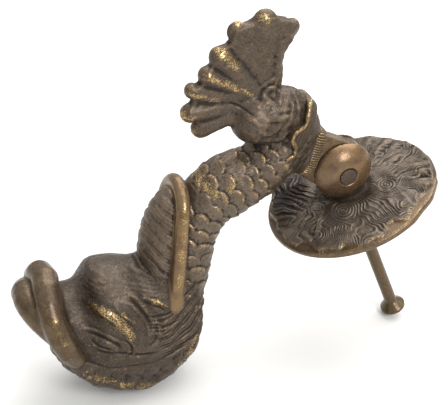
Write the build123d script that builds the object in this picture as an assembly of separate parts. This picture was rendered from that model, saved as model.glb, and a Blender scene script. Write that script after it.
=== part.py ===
"""A dolphin door knocker: round rose plate with two domed ears, a fish that swings on a pin, and its long screw.

Frame: the knocker is on its door. +Z is up, -Y points out of the door and +X is to the right of a person
who stands outside. The origin is the centre of the rose plate's flat back. Lengths are in millimetres.
A heading is an angle in the YZ plane, in degrees from +Y towards +Z, so -90 points straight down.
"""

from build123d import *
import math
import os

# Rose plate
PLATE_R = 42.0
RIM_THICK = 3.0
DOME_RISE = 3.0
BACK_LAND = 6.0
BACK_DEPTH = 1.5
BACK_HUB_R = 11.0

# Hinge: pin across the ears, along X
PIN_Y = -20.5
PIN_R = 4.1
PIN_HALF = 11.4
PIN_RUN = 0.05
EAR_R = 14.8
EAR_INNER = 4.6
EAR_OUTER = 11.6
EAR_FOOT_R = 8.0
EAR_FOOT_RISE = 8.0
SLOT_GAP = 0.6

# Fixing screw
SCREW_R = 3.175
SCREW_TAP = 6.0
SCREW_LENGTH = 78.0
SCREW_HEAD_R = 6.5
SCREW_HEAD_CONE = 3.4
SCREW_HEAD_RIM = 1.2
DRIVER_SLOT_WIDE = 1.5
DRIVER_SLOT_DEEP = 1.8
DRIVER_SLOT_TURN = -68.0

# Fish: tongue, ridged band and collar, measured along the tail's own axis from its start
TAIL_START = (-26.0, 0.0)
TAIL_HEADING = 228.7
TONGUE_HALF = 4.2
TONGUE_R = 12.8
BAND_AT = 16.0
BAND_THICK = 3.4
BAND_SIZE = (14.5, 23.0)
BAND_MIDDLE = 2.3
BAND_RIDGES = 11
BAND_RIDGE_PROUD = 0.5
COLLAR_AT = 19.0
COLLAR_LENGTH = 12.5

# Fish: tail fan, in the middle plane
FAN_HUB = (-73.0, -20.0)
FAN_LOBES = ((141, 39, 4.0), (160, 44, 5.6), (182, 43, 4.8), (202, 39, 5.2), (219, 38, 4.8),
             (234, 40, 4.6), (249, 41, 4.8), (264, 36, 5.2))
FAN_WEB_HALF = 2.2
LEAF_CENTRE = (-63.0, -18.0)
LEAF_HALF = (10.5, 15.0, 14.5)
BULGE_CENTRE = (-67.5, -29.0)
BULGE_R = 12.3

# Fish: body sections as (y, z, heading, half width, half depth)
BODY_SECTIONS = ((-49.0, -18.0, -82, 11.5, 13.0), (-44.0, -35.0, -82, 13.2, 13.8), (-42.0, -51.0, -88, 13.8, 13.8),
                 (-38.5, -66.0, -66, 14.0, 14.0), (-29.0, -78.0, -48, 15.0, 15.0), (-16.0, -91.0, -48, 18.0, 18.0),
                 (-6.0, -104.0, -60, 21.0, 22.0))

# Fish: head, a long egg with its mouth end down and out
HEAD_CENTRE = (0.0, -128.0)
HEAD_HEADING = 236.0
HEAD_HALF = (25.5, 40.0, 33.0)
BROW_CENTRE = (-23.5, -127.0)
BROW_HALF = (19.0, 20.0, 14.0)
MUZZLE_CENTRE = (-16.5, -146.5)
MUZZLE_HALF = (23.0, 21.0, 13.5)

# Fish: hood, a shell behind the head with a round rim; its plane is tilted
HOOD_TOP = (-57.5, -73.5)
HOOD_HEADING = -29.1
HOOD_CENTRE_ALONG = 34.0
HOOD_HALF = (15.5, 31.0, 14.5)
RIM_R = 3.2
RIM_ARCH_HALF = 13.5
RIM_ARCH_DROP = 15.0
RIM_FOOT_HALF = 17.5
RIM_LENGTH = 57.0

# Fish: lips as round rolls: (middle y, z), (corner x, y, z), radius
UPPER_LIP = ((-42.0, -149.5), (23.0, -19.0, -149.5), 6.4)
LOWER_LIP = ((-39.0, -160.5), (19.0, -15.0, -154.0), 6.2)

EGG_RING_ANGLES = (-80, -62, -38, -12, 12, 38, 62, 80)
SAGITTAL = Plane(origin=(0, 0, 0), x_dir=(0, 1, 0), z_dir=(1, 0, 0))


def heading_vector(heading):
    """The unit vector of a heading in the YZ plane."""
    turn = math.radians(heading)
    return Vector(0, math.cos(turn), math.sin(turn))


def tail_point(along, across):
    """A middle-plane point, along the tail's axis from its start and across it, upwards being positive."""
    return Vector(0, *TAIL_START) + heading_vector(TAIL_HEADING) * along + heading_vector(TAIL_HEADING - 90) * across


def section(centre, heading, half_width, half_depth):
    """An ellipse across the fish: half_width along X, half_depth in the YZ plane."""
    plane = Plane(origin=centre, x_dir=(1, 0, 0), z_dir=heading_vector(heading))
    return plane * Ellipse(half_width, half_depth)


def egg(centre, heading, half):
    """An egg with half sizes along X, along its heading and across it, lofted through ellipses."""
    wide, long, deep = half
    rings = []
    for angle in EGG_RING_ANGLES:
        ring_centre = Vector(0, *centre) + heading_vector(heading) * (long * math.sin(math.radians(angle)))
        shrink = math.cos(math.radians(angle))
        rings.append(section(ring_centre, heading, wide * shrink, deep * shrink))
    return loft(rings)


def finger(start, start_r, end, end_r):
    """A round-ended taper from start to end, turned as one solid."""
    span = Vector(*end) - Vector(*start)
    lean = math.asin((start_r - end_r) / span.length)

    def on(radius, rise, angle):
        return (radius * math.cos(angle), rise + radius * math.sin(angle))

    low_mid = (lean - math.pi / 2) / 2
    high_mid = (lean + math.pi / 2) / 2
    foot, top = on(start_r, 0, -math.pi / 2), on(end_r, span.length, math.pi / 2)
    outline = Curve() + [
        ThreePointArc(foot, on(start_r, 0, low_mid), on(start_r, 0, lean)),
        Line(on(start_r, 0, lean), on(end_r, span.length, lean)),
        ThreePointArc(on(end_r, span.length, lean), on(end_r, span.length, high_mid), top),
        Line(top, foot),
    ]
    turned = revolve(Plane.XZ * make_face(outline), Axis.Z)
    return Plane(origin=start, z_dir=span).location * turned


def pin_cylinder(radius, half_length):
    """A cylinder on the hinge axis, centred on the middle plane."""
    return Location((0, PIN_Y, 0), (0, 90, 0)) * Cylinder(radius, 2 * half_length)


def out_of_door(shape):
    """Turns a shape made along +Z so that it stands along -Y."""
    return Rotation(90, 0, 0) * shape


def ears():
    """Two domed ears, turned about the pin's axis and parted by the slot for the tongue."""
    wide = EAR_OUTER - EAR_INNER
    dome = Curve() + [
        Line((0, 0), (EAR_OUTER, 0)),
        Spline((EAR_OUTER, 0), (EAR_INNER + 0.72 * wide, 0.66 * EAR_R), (EAR_INNER, EAR_R), tangents=((0, 1), (-1, 0.25))),
        Line((EAR_INNER, EAR_R), (0, EAR_R)),
        Line((0, EAR_R), (0, 0)),
    ]
    half = revolve(Pos(0, PIN_Y, 0) * make_face(dome), Axis((0, PIN_Y, 0), (1, 0, 0)))
    return half + mirror(half, about=Plane.YZ)


def rose_plate():
    """The rose: a domed disc with a hollow back, and two domed ears on a foot that carry the pin."""
    low = (Align.CENTER, Align.CENTER, Align.MIN)
    dome_r = (PLATE_R**2 + DOME_RISE**2) / (2 * DOME_RISE)
    disc = Cylinder(PLATE_R, RIM_THICK, align=low)
    ball = Pos(0, 0, RIM_THICK + DOME_RISE - dome_r) * Sphere(dome_r)
    plate = disc + (ball & (Pos(0, 0, RIM_THICK) * Cylinder(PLATE_R, DOME_RISE, align=low)))
    hollow = Cylinder(PLATE_R - BACK_LAND, BACK_DEPTH, align=low) - Cylinder(BACK_HUB_R, BACK_DEPTH, align=low)
    plate -= hollow
    foot = Pos(0, 0, RIM_THICK) * Cone(EAR_FOOT_R + 2.0, EAR_FOOT_R, EAR_FOOT_RISE, align=low)
    casting = out_of_door(plate + foot) + ears()
    slot_floor = PIN_Y + TONGUE_R + SLOT_GAP
    casting -= Pos(0, slot_floor, 0) * Box(2 * EAR_INNER, 3 * EAR_R, 4 * EAR_R,
                                           align=(Align.CENTER, Align.MAX, Align.CENTER))
    casting -= pin_cylinder(PIN_R, 2 * EAR_R)
    tapping = Cylinder(SCREW_R, -slot_floor, align=low)
    return casting - out_of_door(tapping)


def hinge_pin():
    """A plain pin with both ends riveted flush in the ears."""
    return pin_cylinder(PIN_R, PIN_HALF)


def fixing_screw():
    """A long countersunk screw from the inside of the door, threaded into the rose's back."""
    shank_end = SCREW_LENGTH - SCREW_HEAD_RIM - SCREW_HEAD_CONE
    low = (Align.CENTER, Align.CENTER, Align.MIN)
    screw = Pos(0, 0, -SCREW_TAP) * Cylinder(SCREW_R, SCREW_TAP + shank_end, align=low)
    screw += Pos(0, 0, shank_end) * Cone(SCREW_R, SCREW_HEAD_R, SCREW_HEAD_CONE, align=low)
    screw += Pos(0, 0, SCREW_LENGTH - SCREW_HEAD_RIM) * Cylinder(SCREW_HEAD_R, SCREW_HEAD_RIM, align=low)
    slot = Box(3 * SCREW_HEAD_R, DRIVER_SLOT_WIDE, 2 * DRIVER_SLOT_DEEP)
    screw -= Pos(0, 0, SCREW_LENGTH) * Rotation(0, 0, DRIVER_SLOT_TURN) * slot
    return Rotation(-90, 0, 0) * screw


def tongue():
    """The flat tongue between the ears, the ridged band round it and the collar."""
    tail = heading_vector(TAIL_HEADING)
    pin = Vector(0, PIN_Y, 0)
    corners = [pin + heading_vector(128) * TONGUE_R, tail_point(COLLAR_AT, 12.0), tail_point(COLLAR_AT, -8.5),
               pin + heading_vector(-62) * TONGUE_R]
    bar = SAGITTAL * make_face(Polyline(*[(corner.Y, corner.Z) for corner in corners], close=True))
    solid = extrude(bar, amount=TONGUE_HALF, both=True) + pin_cylinder(TONGUE_R, TONGUE_HALF)
    band_plane = Plane(origin=tail_point(BAND_AT, BAND_MIDDLE), x_dir=(1, 0, 0), z_dir=tail)
    solid += extrude(band_plane * RectangleRounded(*BAND_SIZE, 4.0), amount=BAND_THICK + 1.0)
    pitch = (BAND_SIZE[1] - 3.0) / (BAND_RIDGES - 1)
    ridge_half = BAND_SIZE[0] / 2 + BAND_RIDGE_PROUD
    for ridge in range(1, BAND_RIDGES - 1):
        across = (ridge - (BAND_RIDGES - 1) / 2) * pitch
        solid += extrude(band_plane * Pos(0, across) * Rectangle(2 * ridge_half, pitch / 2), amount=BAND_THICK)
    collar = loft([
        section(tail_point(COLLAR_AT, 6.0), TAIL_HEADING, 9.2, 17.0),
        section(tail_point(COLLAR_AT + COLLAR_LENGTH, 9.6), TAIL_HEADING, 13.4, 20.4),
    ], ruled=True)
    return solid + collar


def tail_fan():
    """The fan: round-ended ribs that spread from a hub in the middle plane, and the thin web between them."""
    hub = Vector(0, *FAN_HUB)
    tips = [hub + heading_vector(angle) * (reach - tip_r) for angle, reach, tip_r in FAN_LOBES]
    web_points = [(FAN_HUB[0] + 4, FAN_HUB[1] - 4)] + [(tip.Y, tip.Z) for tip in tips]
    web_points += [(FAN_HUB[0] - 4, FAN_HUB[1] - 14), (FAN_HUB[0] + 8, FAN_HUB[1] - 6)]
    solid = extrude(SAGITTAL * make_face(Polyline(*web_points, close=True)), amount=FAN_WEB_HALF, both=True)
    for (angle, reach, tip_r), tip in zip(FAN_LOBES, tips):
        root = hub + heading_vector(angle) * 6.0
        solid += finger(root, 2.6, tip, tip_r)
    leaf_mass = egg(LEAF_CENTRE, TAIL_HEADING, LEAF_HALF)
    under_bulge = Pos(0, *BULGE_CENTRE) * Sphere(BULGE_R)
    return solid + leaf_mass + under_bulge


def body():
    """The scaled body, from inside the collar round the bend to the nape."""
    return loft([section((0, y, z), heading, wide, deep) for y, z, heading, wide, deep in BODY_SECTIONS])


def hood():
    """The shell behind the head: a swollen web under a round rim that arches over the body."""
    along, out = heading_vector(HOOD_HEADING), heading_vector(HOOD_HEADING - 90)
    top = Vector(0, *HOOD_TOP)
    middle = top + along * HOOD_CENTRE_ALONG
    web = egg((middle.Y, middle.Z), HOOD_HEADING, HOOD_HALF)
    keep = Plane(origin=middle, x_dir=(1, 0, 0), z_dir=out) * Box(80, 120, 60, align=(Align.CENTER, Align.CENTER, Align.MIN))
    web &= keep

    def rim_point(across, run):
        return Vector(across, 0, 0) + top + along * run

    arch = ThreePointArc(rim_point(-RIM_ARCH_HALF, RIM_ARCH_DROP), rim_point(0, 0),
                         rim_point(RIM_ARCH_HALF, RIM_ARCH_DROP))
    rim = sweep(Plane(origin=arch @ 0, z_dir=arch % 0) * Circle(RIM_R), path=arch)
    for side in (-1, 1):
        rim += finger(rim_point(side * RIM_ARCH_HALF, RIM_ARCH_DROP), RIM_R,
                      rim_point(side * RIM_FOOT_HALF, RIM_LENGTH), RIM_R * 0.9)
    return web + rim


def lip(middle, corner, radius):
    """One lip: a round roll that arches across the muzzle from corner to corner."""
    ends = [Vector(side * corner[0], corner[1], corner[2]) for side in (-1, 1)]
    arch = ThreePointArc(ends[0], Vector(0, *middle), ends[1])
    roll = sweep(Plane(origin=arch @ 0, z_dir=arch % 0) * Circle(radius), path=arch)
    for end in ends:
        roll += Pos(*end) * Sphere(radius)
    return roll


def fish():
    """The swinging fish, one casting, with a running bore for the pin."""
    casting = tongue() + body()
    casting += tail_fan()
    casting += egg(HEAD_CENTRE, HEAD_HEADING, HEAD_HALF)
    casting += egg(BROW_CENTRE, HEAD_HEADING, BROW_HALF)
    casting += egg(MUZZLE_CENTRE, 180.0, MUZZLE_HALF)
    casting += hood()
    casting += lip(*UPPER_LIP)
    casting += lip(*LOWER_LIP)
    return casting - pin_cylinder(PIN_R + PIN_RUN, 2 * TONGUE_HALF)


PARTS = {"rose_plate": rose_plate, "fish": fish, "hinge_pin": hinge_pin, "fixing_screw": fixing_screw}

os.makedirs("parts", exist_ok=True)
for node, make in PARTS.items():
    solid = make().clean()
    export_step(solid, f"parts/{node}.step")
    print(node, "solids", len(solid.solids()), "volume cm3", round(solid.volume / 1000, 1), solid.bounding_box())
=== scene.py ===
"""Looks for the dolphin door knocker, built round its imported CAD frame.

The frame is the CAD's: metres, +Z up, -Y out of the door, +X to the right, origin at the rose's flat back.
Form sizes below are in millimetres, and meshes are scaled to metres as they are made.
A heading is an angle in the YZ plane, in degrees from +Y towards +Z.
"""

import math

import bpy
import numpy as np
import openvdb
from mathutils import Matrix, Vector


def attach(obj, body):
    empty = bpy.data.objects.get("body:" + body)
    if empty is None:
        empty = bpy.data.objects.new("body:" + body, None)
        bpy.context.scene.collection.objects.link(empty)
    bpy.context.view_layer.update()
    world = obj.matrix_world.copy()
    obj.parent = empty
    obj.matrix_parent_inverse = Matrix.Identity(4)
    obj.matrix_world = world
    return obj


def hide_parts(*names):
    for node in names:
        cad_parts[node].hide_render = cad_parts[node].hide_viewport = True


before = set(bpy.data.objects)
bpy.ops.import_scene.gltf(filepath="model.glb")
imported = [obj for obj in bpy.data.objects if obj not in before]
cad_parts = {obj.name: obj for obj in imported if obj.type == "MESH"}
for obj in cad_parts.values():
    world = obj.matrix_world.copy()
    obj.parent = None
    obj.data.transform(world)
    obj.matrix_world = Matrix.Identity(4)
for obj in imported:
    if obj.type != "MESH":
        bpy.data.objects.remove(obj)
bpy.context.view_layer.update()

MM = 0.001

# ======== Camera, table and light
CAMERA_PLACE = (0.45653, -0.36644, -0.10044)
CAMERA_RIGHT = (0.33281, 0.34487, 0.87767)
CAMERA_UP = (-0.48925, -0.73251, 0.47335)
CAMERA_LENS = 96.42

TABLE_UP = Vector((0.0, -0.9386, 0.3453)).normalized()
TABLE_TOUCH = (0.0, 0.0799, -0.0072)
KNOCKER_MIDDLE = Vector((0.0, -0.02, -0.07))


def add_object(name, data, place=(0, 0, 0), turn=Matrix.Identity(3)):
    """A linked object at a place, turned by a 3 x 3 matrix."""
    made = bpy.data.objects.new(name, data)
    made.matrix_world = Matrix.Translation(place) @ turn.to_4x4()
    bpy.context.scene.collection.objects.link(made)
    return made


def make_camera():
    """A long lens at the knocker's right front, rolled so that the table lies level in the picture."""
    right, up = Vector(CAMERA_RIGHT).normalized(), Vector(CAMERA_UP)
    back = right.cross(up).normalized()
    up = back.cross(right)
    data = bpy.data.cameras.new("camera")
    data.lens, data.sensor_width, data.clip_end = CAMERA_LENS, 36, 20
    turn = Matrix((right, up, back)).transposed()
    bpy.context.scene.camera = add_object("camera", data, CAMERA_PLACE, turn)
    bpy.context.scene.view_settings.view_transform = "Standard"


def table_frame():
    """The table's own axes in the object's frame: along X, level, and up from the table."""
    side = Vector((1, 0, 0))
    return Matrix((side, TABLE_UP.cross(side), TABLE_UP)).transposed()


def make_table():
    """A plain pale table under the chin and the screw's head, seen from above only."""
    half = 3.0
    mesh = bpy.data.meshes.new("table")
    corners = [(-half, -half, 0), (half, -half, 0), (half, half, 0), (-half, half, 0)]
    mesh.from_pydata(corners, [], [(0, 1, 2, 3)])
    table = add_object("table", mesh, TABLE_TOUCH, table_frame())
    material = bpy.data.materials.new("table")
    g = Graph(material)
    g.feed("Principled BSDF", Base_Color=(0.71, 0.706, 0.69, 1), Roughness=0.85)
    clear = g.node("ShaderNodeBsdfTransparent").outputs[0]
    shade_under_head = g.node("ShaderNodeNewGeometry").outputs["Backfacing"]
    solid = g.tree.nodes["Principled BSDF"].outputs[0]
    mix = g.node("ShaderNodeMixShader", {0: shade_under_head, 1: solid, 2: clear})
    g.feed("Material Output", Surface=mix.outputs[0])
    mesh.materials.append(material)


def area_light(name, offset, size, power):
    """A soft square light at an offset from the knocker's middle in the table's axes, aimed at it."""
    data = bpy.data.lights.new(name, "AREA")
    data.size, data.energy = size, power
    place = KNOCKER_MIDDLE + table_frame() @ Vector(offset)
    aim = (KNOCKER_MIDDLE - place).to_track_quat("-Z", "Y")
    add_object(name, data, place, aim.to_matrix())


def make_light():
    """A pale room with a large window light and a weaker fill."""
    world = bpy.data.worlds.new("room")
    g = Graph(world)
    ways = {0: g.node("ShaderNodeTexCoord").outputs["Generated"], 1: TABLE_UP}
    rise = g.node("ShaderNodeVectorMath", ways, operation="DOT_PRODUCT").outputs["Value"]
    shade = {"Value": rise, "From Min": -0.1, "From Max": 0.7, "To Min": 0.38, "To Max": 1.06}
    strength = g.node("ShaderNodeMapRange", shade).outputs[0]
    g.feed("Background", Color=(0.98, 0.975, 0.97, 1), Strength=strength)
    bpy.context.scene.world = world
    area_light("window", (-0.35, 0.5, 1.1), 1.5, 22.0)
    area_light("fill", (1.0, 0.3, 0.75), 0.5, 10.0)


# ======== Distance fields, in millimetres. A point set is a tuple (x, y, z) of arrays; x is taken as |x|.
def unit(heading):
    """The (y, z) unit vector of a heading."""
    turn = math.radians(heading)
    return math.cos(turn), math.sin(turn)


class Axes:
    """Two axes in the YZ plane: along a heading from a start, and across it, a quarter turn back from it."""

    def __init__(self, start, heading):
        self.start, self.ahead, self.aside = start, unit(heading), unit(heading - 90)

    def point(self, x, along, across=0):
        (sy, sz), (ay, az), (cy, cz) = self.start, self.ahead, self.aside
        return x, sy + ay * along + cy * across, sz + az * along + cz * across

    def place(self, y, z):
        """How far points are along and across."""
        (ay, az), (cy, cz) = self.ahead, self.aside
        y, z = y - self.start[0], z - self.start[1]
        return y * ay + z * az, y * cy + z * cz


def from_centre(y, z, centre, heading):
    """How far points are from a centre, along a heading and to its left."""
    cos, sin = unit(heading)
    y, z = y - centre[0], z - centre[1]
    return y * cos + z * sin, z * cos - y * sin


def egg(p, centre, heading, half):
    """Distance to an ellipsoid with half sizes along X, along its heading and across it."""
    x, y, z = p
    along, across = from_centre(y, z, centre, heading)
    wide, long, deep = half
    size = np.sqrt((x / wide) ** 2 + (along / long) ** 2 + (across / deep) ** 2)
    slope = np.sqrt((x / wide**2) ** 2 + (along / long**2) ** 2 + (across / deep**2) ** 2)
    return size * (size - 1) / np.maximum(slope, 1e-6)


def finger(p, start, start_r, end, end_r):
    """Distance to a round-ended taper."""
    q = [a - b for a, b in zip(p, start)]
    span = [b - a for a, b in zip(start, end)]
    length2 = sum(c * c for c in span)
    t = np.clip(sum(a * b for a, b in zip(q, span)) / length2, 0, 1)
    gap = np.sqrt(sum((a - t * b) ** 2 for a, b in zip(q, span)))
    return gap - (start_r + (end_r - start_r) * t)


def rope(p, points, radii):
    """Distance to a round rope through points, with one radius or one for each point."""
    radii = np.broadcast_to(radii, len(points))
    spans = zip(points[:-1], radii[:-1], points[1:], radii[1:])
    return np.minimum.reduce([finger(p, *span) for span in spans])


def join(a, b, soft):
    """The union of two fields, with a fillet about soft wide."""
    mix = np.clip(0.5 + 0.5 * (b - a) / soft, 0, 1)
    return b + (a - b) * mix - soft * mix * (1 - mix)


def join_max(a, b, soft):
    """The intersection of two fields with a rounded edge."""
    return -join(-a, -b, soft)


def carve(a, b, soft):
    """Field a with b cut away, with a rounded edge."""
    return -join(-a, b, soft)


def ramp(value, low, high):
    """A smooth rise from 0 at low to 1 at high."""
    t = np.clip((value - low) / (high - low), 0, 1)
    return t * t * (3 - 2 * t)


class Course:
    """A smooth path in the YZ plane, with quantities that change along it."""

    def __init__(self, stations, count=64):
        stations = np.array(stations, float)
        knots = np.concatenate([[0], np.cumsum(np.hypot(*np.diff(stations[:, :2], axis=0).T))])
        run = np.linspace(0, knots[-1], count)
        self.table = np.stack([self._smooth(knots, column, run) for column in stations.T], axis=1)
        self.run = np.concatenate([[0], np.cumsum(np.hypot(*np.diff(self.table[:, :2], axis=0).T))])

    @staticmethod
    def _smooth(knots, values, run):
        """A cubic through the values, with slopes taken from their neighbours."""
        slope = np.gradient(values, knots)
        i = np.clip(np.searchsorted(knots, run, side="right") - 1, 0, len(knots) - 2)
        h = knots[i + 1] - knots[i]
        t = (run - knots[i]) / h
        rise = (2 * t**3 - 3 * t**2 + 1) * values[i] + (3 * t**2 - 2 * t**3) * values[i + 1]
        return rise + h * ((t**3 - 2 * t**2 + t) * slope[i] + (t**3 - t**2) * slope[i + 1])

    def locate(self, y, z):
        """For points: the run along the course, the offset to its left, and the other columns there."""
        best = np.full(y.shape, np.inf)
        run, side = np.zeros(y.shape), np.zeros(y.shape)
        extra = np.zeros(y.shape + (self.table.shape[1] - 2,))
        for a, b, at, to in zip(self.table[:-1], self.table[1:], self.run[:-1], self.run[1:]):
            dy, dz = b[0] - a[0], b[1] - a[1]
            t = np.clip(((y - a[0]) * dy + (z - a[1]) * dz) / (dy * dy + dz * dz), 0, 1)
            oy, oz = y - a[0] - t * dy, z - a[1] - t * dz
            gap = oy * oy + oz * oz
            near = gap < best
            best = np.where(near, gap, best)
            run = np.where(near, at + t * (to - at), run)
            side = np.where(near, np.sign(dy * oz - dz * oy), side)
            extra = np.where(near[..., None], a[2:] + t[..., None] * (b[2:] - a[2:]), extra)
        return run, side * np.sqrt(best), extra


# ======== Marks on a surface. Lines lie in the YZ plane and mark both sides of the fish alike.
def noise(p, size, seed=0):
    """Smooth noise from -1 to 1 with lumps about size wide."""
    cells = [np.floor(c / size).astype(np.int64) for c in p]
    parts = [c / size - cell for c, cell in zip(p, cells)]
    ease = [t * t * (3 - 2 * t) for t in parts]
    total = np.zeros(np.shape(p[0]))
    for corner in range(8):
        step = (corner & 1, corner >> 1 & 1, corner >> 2 & 1)
        weight = np.ones(total.shape)
        code = np.full(total.shape, seed * 7919 + 17, np.int64)
        for cell, e, up, prime in zip(cells, ease, step, (73856093, 19349663, 83492791)):
            weight *= e if up else 1 - e
            code = code ^ ((cell + up) * prime)
        code = (code ^ (code >> 13)) * 1274126177 & 0x7FFFFFFF
        code = (code ^ (code >> 15)) & 0xFFFF
        total += weight * (code / 32767.5 - 1)
    return total


def ripple(value, pitch):
    """A wave from -1 to 1 that repeats every pitch."""
    return np.cos(value * 2 * math.pi / pitch)


def chance(*numbers):
    """A fixed random number from 0 to 1 for each set of whole numbers."""
    code = np.full(np.shape(numbers[0]), 12345, np.int64)
    for number, prime in zip(numbers, (73856093, 19349663, 83492791)):
        code = code ^ (number.astype(np.int64) * prime)
    code = (code ^ (code >> 13)) * 1274126177 & 0x7FFFFFFF
    return ((code ^ (code >> 16)) & 0xFFFF) / 65535


def stroke(y, z, points, width, fall=None, taper=0.25):
    """1 on a smooth line, fading over width on its right, over fall on its left, and to its ends."""
    course = Course(points, 6 * len(points))
    fall = fall or width
    reach = max(width, fall)
    low, high = course.table.min(axis=0) - reach, course.table.max(axis=0) + reach
    near = (y > low[0]) & (y < high[0]) & (z > low[1]) & (z < high[1])
    amount = np.zeros(y.shape)
    run, offset, _ = course.locate(y[near], z[near])
    share = run / course.run[-1]
    ends = np.clip(np.minimum(share, 1 - share) / taper, 0, 1)
    amount[near] = np.clip(1 - (offset / np.where(offset > 0, fall, width)) ** 2, 0, 1) ** 2 * ends
    return amount


def blot(y, z, centre, heading, long, wide):
    """1 in the middle of an ellipse, falling smoothly to 0 at its edge."""
    along, across = from_centre(y, z, centre, heading)
    return np.clip(1 - (along / long) ** 2 - (across / wide) ** 2, 0, 1)


# ======== The fish's form
PIN_Y, PIN_R = -20.5, 4.1
TAIL_HEADING, HOOD_HEADING, HEAD_HEADING = 228.7, -29.1, 236
TAIL = Axes((-26, 0), TAIL_HEADING)  # along from the pin to the fan, and across upwards
HOOD = Axes((-57.5, -73.5), HOOD_HEADING)  # along the rim's plane, and out of it towards the head

# y, z, half width, half depth
BODY = Course([(-52, -12, 10.5, 11), (-45, -27.6, 13, 11.7), (-42.2, -39.2, 13.8, 12.5),
               (-42.3, -51.2, 13.8, 15.2), (-40, -65, 13.6, 13.6), (-32, -77, 14.4, 13.4),
               (-20.2, -88, 16.2, 16), (-9, -101, 20, 20.5)])

# swellings: centre, heading, and half sizes along X, along the heading and across it
LEAVES = ((-62.2, -17.8), TAIL_HEADING, (11, 17, 15.1))
FAN_ROOT = ((-67.7, -28.8), 0, (12, 11.7, 11.7))
HEAD = ((1.3, -126.2), HEAD_HEADING, (25, 37.8, 32.4))
BROW = ((-22.5, -126), HEAD_HEADING, (19.5, 19, 12))
MUZZLE = ((-15, -145), 180, (21, 20, 11.5))
HOOD_WEB = (HOOD.point(0, 34.4)[1:], HOOD_HEADING, (15.5, 31.6, 14.9))
RIM_R = 3.45

FAN_HUB = (-73, -20)
ARC = 0.0175  # length of a degree for each unit of reach
# each rib's radii, its line as (angle, reach), and its share of thickness
FAN_RIBS = [
    ((2.4, 3, 3.9), ((151, 5), (151, 22), (141.9, 36.3)), 0.75),
    ((3, 4.6, 5.6), ((164, 5), (163, 22), (161.4, 39.1)), 0.8),
    ((3, 4.1, 4.8), ((180, 5), (182, 20), (181.3, 39)), 0.5),
    ((2.8, 4.3, 5.2), ((200, 5), (201, 20), (201.2, 33.8)), 0.95),
    ((2.4, 3.6, 4.3), ((216, 5), (217.5, 20), (218.1, 33.5)), 1.1),
    ((2.4, 3.1, 3.6), ((232, 5), (232, 20), (232, 37.8)), 1),
    ((2.4, 3.6, 4.4), ((248, 5), (248, 20), (248.8, 37.4)), 1),
    ((2.6, 4, 4.8), ((263, 5), (263, 18), (263.2, 33.3)), 0.85),
]
# the web's rounded edge on the collar's side, as (angle, reach)
FAN_SIDE = [(133, 10), (143, 16), (146.5, 22), (146, 27), (143, 32), (141.9, 36)]
# angle and reach of the web's edge between the ribs
FAN_WEB = [
    (138, 34), (146, 39.6), (152, 40), (160, 41), (171, 40.6), (182, 40.5), (189, 36.5), (203, 36),
    (208, 34.8), (218, 35), (225, 35), (233, 37.5), (239, 36.6), (249, 38), (256, 34.5), (262, 31),
    (268, 19)
]


def rim_path():
    """The hood's rim on the +X side: an arch from the top, then a nearly straight leg."""
    arch = []
    for t in np.linspace(0, math.pi / 2, 8):
        sin, cos = math.sin(t), math.cos(t)
        arch.append(HOOD.point(13.5 * sin, 1.2 + 14 * (1 - cos), -0.6 * cos))
    return arch + [HOOD.point(15, 26), HOOD.point(16.5, 40), HOOD.point(17.5, 57)]


def lip_path(middle, corner):
    """A lip on the +X side: a quarter of an ellipse from the middle plane to the mouth's corner."""
    points = []
    for t in np.linspace(0, math.pi / 2, 9):
        cos, sin = math.cos(t), math.sin(t)
        points.append((corner[0] * sin, *(c + (m - c) * cos for m, c in zip(middle, corner[1:]))))
    return points


def fan_points(line):
    """Points in the middle plane at angles and reaches from the fan's hub."""
    return [(0, FAN_HUB[0] + unit(turn)[0] * far, FAN_HUB[1] + unit(turn)[1] * far) for turn, far in line]


def fan_field(p):
    """The tail fan: ribs that swell towards round tips, and a thin web between them."""
    x, y, z = p
    reach = np.hypot(y - FAN_HUB[0], z - FAN_HUB[1])
    angle = np.degrees(np.arctan2(z - FAN_HUB[1], y - FAN_HUB[0])) % 360
    edge = np.interp(angle, *zip(*FAN_WEB), left=0, right=0)
    low_edge = np.interp(reach, [0, 10, 16, 24, 32, 40], [128, 133, 144, 147, 143, 139])
    thick_web = np.interp(angle, [140, 180, 192, 260], [3.3, 3.1, 2.4, 2.4])
    ends = np.maximum(low_edge - angle, angle - 265) * reach * ARC
    field = np.maximum(np.maximum(reach - edge, x - thick_web), ends)
    for radii, line, thick in FAN_RIBS:
        field = join(field, rope((x / thick, y, z), fan_points(line), radii), 1.8)
    return join(field, rope(p, fan_points(FAN_SIDE), 2.4), 2.5)


def hood_field(p):
    """The hood: a swollen web out of the rim's plane."""
    _, y, z = p
    return np.maximum(egg(p, *HOOD_WEB), -0.5 - HOOD.place(y, z)[1])


def body_field(p):
    """The body's round bar."""
    x, y, z = p
    _, offset, size = BODY.locate(y, z)
    wide, deep = size[..., 0], size[..., 1]
    return (np.sqrt((x / wide) ** 2 + (offset / deep) ** 2) - 1) * np.minimum(wide, deep)


UPPER_LIP = [(0, -44, -148.4), (7, -43.4, -149.6), (13, -39, -151.8), (18, -33.4, -153.4),
             (21, -24.2, -154.4), (21, -17, -154.2), (19, -9.8, -153.4)]
LOWER_LIP = lip_path((-40.7, -159.6), (16, -12.8, -152.8))
LIP_VALLEY = lip_path((-39, -136.4), (26.5, -8, -146))
UPPER_LIP_R = [6.5, 6.4, 6.2, 5.9, 5.7, 5.4, 4.8]
LOWER_LIP_R = [6.4, 6.7, 6.9, 6.9, 6.7, 6.3, 5.8, 5.3, 4.8]
# The frill's edge under the head, from the mouth's corner round to the nape
FRILL = [(14, -9, -155), (15, 3.4, -151.5), (15.5, 10, -148), (16, 16.5, -142.5), (15, 24.3, -133.2),
         (14.5, 25.8, -127), (15, 23.6, -118), (15, 21.3, -112), (15, 16.8, -103), (14, 7.7, -96)]


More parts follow.
